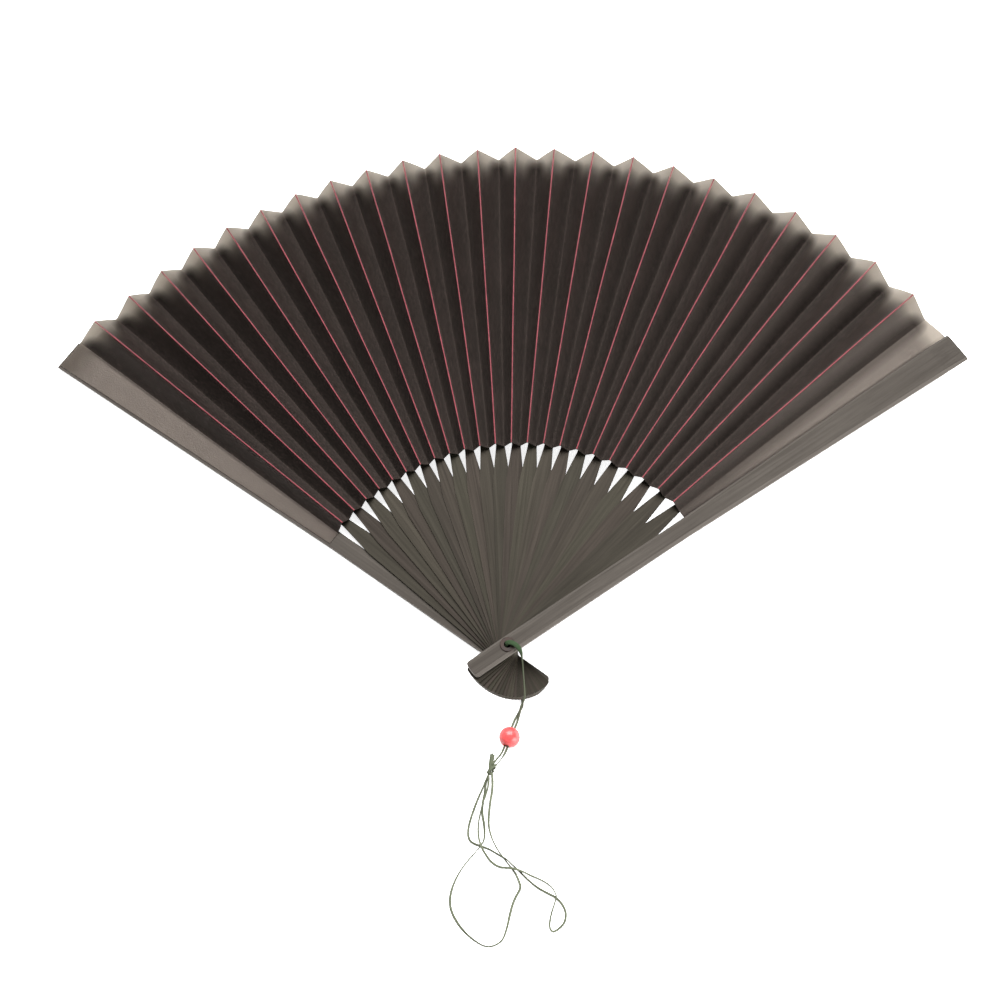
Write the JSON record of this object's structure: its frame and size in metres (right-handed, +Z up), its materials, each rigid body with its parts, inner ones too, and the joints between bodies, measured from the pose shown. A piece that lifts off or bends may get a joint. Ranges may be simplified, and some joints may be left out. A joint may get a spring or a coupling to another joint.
{
  "type": "folding fan",
  "caption": "Pleated hand fan of dark wooden sticks between two guards that turn on a hollow eyelet, with a knotted cord and a round bead at the pivot.",
  "frame": {"origin": "where the pivot axis meets the surface that the rear guard lies on", "axes": "+Z up along the pivot axis, +Y to the middle of the open leaf, +X to the right, towards the front guard"},
  "size_m": [0.3687, 0.3307, 0.025],
  "materials": {
    "guard_wood": "dark stained wood, satin, fine grain along the stick",
    "rib_wood": "thin dark stained wood, satin",
    "leaf_fabric": "thin dark woven cloth, pleated, lets a little light through",
    "fold_edge": "red line along each ridge of the pleats",
    "eyelet_metal": "dark bronzed metal",
    "cord": "flat grey-green braided cord",
    "bead": "satin coral bead"
  },
  "bodies": {
    "front_guard": {"front_guard": "guard_wood", "leaf_front_end": "leaf_fabric", "eyelet": "eyelet_metal", "eyelet_washer": "eyelet_metal", "cord_front": "cord", "cord_back": "cord", "cord_knot": "cord"},
    "rear_guard": {"rear_guard": "guard_wood", "leaf_rear_end": "leaf_fabric"},
    "bead": {"bead": "bead"},
    "rib_01": {"rib_01": "rib_wood", "leaf_pleat_01": "leaf_fabric"},
    "rib_02": {"rib_02": "rib_wood", "leaf_pleat_02": "leaf_fabric"},
    "rib_03": {"rib_03": "rib_wood", "leaf_pleat_03": "leaf_fabric"},
    "rib_04": {"rib_04": "rib_wood", "leaf_pleat_04": "leaf_fabric"},
    "rib_05": {"rib_05": "rib_wood", "leaf_pleat_05": "leaf_fabric"},
    "rib_06": {"rib_06": "rib_wood", "leaf_pleat_06": "leaf_fabric"},
    "rib_07": {"rib_07": "rib_wood", "leaf_pleat_07": "leaf_fabric"},
    "rib_08": {"rib_08": "rib_wood", "leaf_pleat_08": "leaf_fabric"},
    "rib_09": {"rib_09": "rib_wood", "leaf_pleat_09": "leaf_fabric"},
    "rib_10": {"rib_10": "rib_wood", "leaf_pleat_10": "leaf_fabric"},
    "rib_11": {"rib_11": "rib_wood", "leaf_pleat_11": "leaf_fabric"},
    "rib_12": {"rib_12": "rib_wood", "leaf_pleat_12": "leaf_fabric"},
    "rib_13": {"rib_13": "rib_wood", "leaf_pleat_13": "leaf_fabric"},
    "rib_14": {"rib_14": "rib_wood", "leaf_pleat_14": "leaf_fabric"},
    "rib_15": {"rib_15": "rib_wood", "leaf_pleat_15": "leaf_fabric"},
    "rib_16": {"rib_16": "rib_wood", "leaf_pleat_16": "leaf_fabric"},
    "rib_17": {"rib_17": "rib_wood", "leaf_pleat_17": "leaf_fabric"},
    "rib_18": {"rib_18": "rib_wood", "leaf_pleat_18": "leaf_fabric"},
    "rib_19": {"rib_19": "rib_wood", "leaf_pleat_19": "leaf_fabric"},
    "rib_20": {"rib_20": "rib_wood", "leaf_pleat_20": "leaf_fabric"},
    "rib_21": {"rib_21": "rib_wood", "leaf_pleat_21": "leaf_fabric"},
    "rib_22": {"rib_22": "rib_wood", "leaf_pleat_22": "leaf_fabric"},
    "rib_23": {"rib_23": "rib_wood", "leaf_pleat_23": "leaf_fabric"}
  },
  "joints": [
    {"name": "fan_fold", "type": "hinge", "parent": "front_guard", "child": "rear_guard", "pos_m": [0, 0, 0], "axis": [0, 0, -1], "range_deg": [0, 108.4], "deforming": ["leaf_front_end"]},
    {"name": "rib_01_fold", "type": "hinge", "parent": "front_guard", "child": "rib_01", "pos_m": [0, 0, 0], "axis": [0, 0, -1], "range_deg": [0, 103.15], "deforming": ["leaf_pleat_01"]},
    {"name": "rib_02_fold", "type": "hinge", "parent": "front_guard", "child": "rib_02", "pos_m": [0, 0, 0], "axis": [0, 0, -1], "range_deg": [0, 98.67], "deforming": ["leaf_pleat_02"]},
    {"name": "rib_03_fold", "type": "hinge", "parent": "front_guard", "child": "rib_03", "pos_m": [0, 0, 0], "axis": [0, 0, -1], "range_deg": [0, 94.3], "deforming": ["leaf_pleat_03"]},
    {"name": "rib_04_fold", "type": "hinge", "parent": "front_guard", "child": "rib_04", "pos_m": [0, 0, 0], "axis": [0, 0, -1], "range_deg": [0, 90.01], "deforming": ["leaf_pleat_04"]},
    {"name": "rib_05_fold", "type": "hinge", "parent": "front_guard", "child": "rib_05", "pos_m": [0, 0, 0], "axis": [0, 0, -1], "range_deg": [0, 85.8], "deforming": ["leaf_pleat_05"]},
    {"name": "rib_06_fold", "type": "hinge", "parent": "front_guard", "child": "rib_06", "pos_m": [0, 0, 0], "axis": [0, 0, -1], "range_deg": [0, 81.64], "deforming": ["leaf_pleat_06"]},
    {"name": "rib_07_fold", "type": "hinge", "parent": "front_guard", "child": "rib_07", "pos_m": [0, 0, 0], "axis": [0, 0, -1], "range_deg": [0, 77.52], "deforming": ["leaf_pleat_07"]},
    {"name": "rib_08_fold", "type": "hinge", "parent": "front_guard", "child": "rib_08", "pos_m": [0, 0, 0], "axis": [0, 0, -1], "range_deg": [0, 73.44], "deforming": ["leaf_pleat_08"]},
    {"name": "rib_09_fold", "type": "hinge", "parent": "front_guard", "child": "rib_09", "pos_m": [0, 0, 0], "axis": [0, 0, -1], "range_deg": [0, 69.37], "deforming": ["leaf_pleat_09"]},
    {"name": "rib_10_fold", "type": "hinge", "parent": "front_guard", "child": "rib_10", "pos_m": [0, 0, 0], "axis": [0, 0, -1], "range_deg": [0, 65.29], "deforming": ["leaf_pleat_10"]},
    {"name": "rib_11_fold", "type": "hinge", "parent": "front_guard", "child": "rib_11", "pos_m": [0, 0, 0], "axis": [0, 0, -1], "range_deg": [0, 61.21], "deforming": ["leaf_pleat_11"]},
    {"name": "rib_12_fold", "type": "hinge", "parent": "front_guard", "child": "rib_12", "pos_m": [0, 0, 0], "axis": [0, 0, -1], "range_deg": [0, 57.09], "deforming": ["leaf_pleat_12"]},
    {"name": "rib_13_fold", "type": "hinge", "parent": "front_guard", "child": "rib_13", "pos_m": [0, 0, 0], "axis": [0, 0, -1], "range_deg": [0, 52.94], "deforming": ["leaf_pleat_13"]},
    {"name": "rib_14_fold", "type": "hinge", "parent": "front_guard", "child": "rib_14", "pos_m": [0, 0, 0], "axis": [0, 0, -1], "range_deg": [0, 48.72], "deforming": ["leaf_pleat_14"]},
    {"name": "rib_15_fold", "type": "hinge", "parent": "front_guard", "child": "rib_15", "pos_m": [0, 0, 0], "axis": [0, 0, -1], "range_deg": [0, 44.43], "deforming": ["leaf_pleat_15"]},
    {"name": "rib_16_fold", "type": "hinge", "parent": "front_guard", "child": "rib_16", "pos_m": [0, 0, 0], "axis": [0, 0, -1], "range_deg": [0, 40.06], "deforming": ["leaf_pleat_16"]},
    {"name": "rib_17_fold", "type": "hinge", "parent": "front_guard", "child": "rib_17", "pos_m": [0, 0, 0], "axis": [0, 0, -1], "range_deg": [0, 35.58], "deforming": ["leaf_pleat_17"]},
    {"name": "rib_18_fold", "type": "hinge", "parent": "front_guard", "child": "rib_18", "pos_m": [0, 0, 0], "axis": [0, 0, -1], "range_deg": [0, 30.99], "deforming": ["leaf_pleat_18"]},
    {"name": "rib_19_fold", "type": "hinge", "parent": "front_guard", "child": "rib_19", "pos_m": [0, 0, 0], "axis": [0, 0, -1], "range_deg": [0, 26.27], "deforming": ["leaf_pleat_19"]},
    {"name": "rib_20_fold", "type": "hinge", "parent": "front_guard", "child": "rib_20", "pos_m": [0, 0, 0], "axis": [0, 0, -1], "range_deg": [0, 21.41], "deforming": ["leaf_pleat_20"]},
    {"name": "rib_21_fold", "type": "hinge", "parent": "front_guard", "child": "rib_21", "pos_m": [0, 0, 0], "axis": [0, 0, -1], "range_deg": [0, 16.39], "deforming": ["leaf_pleat_21"]},
    {"name": "rib_22_fold", "type": "hinge", "parent": "front_guard", "child": "rib_22", "pos_m": [0, 0, 0], "axis": [0, 0, -1], "range_deg": [0, 11.19], "deforming": ["leaf_pleat_22"]},
    {"name": "rib_23_fold", "type": "hinge", "parent": "front_guard", "child": "rib_23", "pos_m": [0, 0, 0], "axis": [0, 0, -1], "range_deg": [0, 5.81], "deforming": ["leaf_pleat_23"]},
    {"name": "bead_slide", "type": "slide", "parent": "front_guard", "child": "bead", "axis": [-0.342, -0.9397, 0], "range_m": [-0.0025, 0.0025]}
  ],
  "couplings": [
    {"joint": "rib_01_fold", "follows": "fan_fold", "ratio": 0.95111},
    {"joint": "rib_02_fold", "follows": "fan_fold", "ratio": 0.90982},
    {"joint": "rib_03_fold", "follows": "fan_fold", "ratio": 0.86947},
    {"joint": "rib_04_fold", "follows": "fan_fold", "ratio": 0.82992},
    {"joint": "rib_05_fold", "follows": "fan_fold", "ratio": 0.79103},
    {"joint": "rib_06_fold", "follows": "fan_fold", "ratio": 0.75267},
    {"joint": "rib_07_fold", "follows": "fan_fold", "ratio": 0.71471},
    {"joint": "rib_08_fold", "follows": "fan_fold", "ratio": 0.67701},
    {"joint": "rib_09_fold", "follows": "fan_fold", "ratio": 0.63945},
    {"joint": "rib_10_fold", "follows": "fan_fold", "ratio": 0.60188},
    {"joint": "rib_11_fold", "follows": "fan_fold", "ratio": 0.56419},
    {"joint": "rib_12_fold", "follows": "fan_fold", "ratio": 0.52623},
    {"joint": "rib_13_fold", "follows": "fan_fold", "ratio": 0.48787},
    {"joint": "rib_14_fold", "follows": "fan_fold", "ratio": 0.44898},
    {"joint": "rib_15_fold", "follows": "fan_fold", "ratio": 0.40942},
    {"joint": "rib_16_fold", "follows": "fan_fold", "ratio": 0.36907},
    {"joint": "rib_17_fold", "follows": "fan_fold", "ratio": 0.32779},
    {"joint": "rib_18_fold", "follows": "fan_fold", "ratio": 0.28544},
    {"joint": "rib_19_fold", "follows": "fan_fold", "ratio": 0.2419},
    {"joint": "rib_20_fold", "follows": "fan_fold", "ratio": 0.19703},
    {"joint": "rib_21_fold", "follows": "fan_fold", "ratio": 0.1507},
    {"joint": "rib_22_fold", "follows": "fan_fold", "ratio": 0.10278},
    {"joint": "rib_23_fold", "follows": "fan_fold", "ratio": 0.053125}
  ]
}
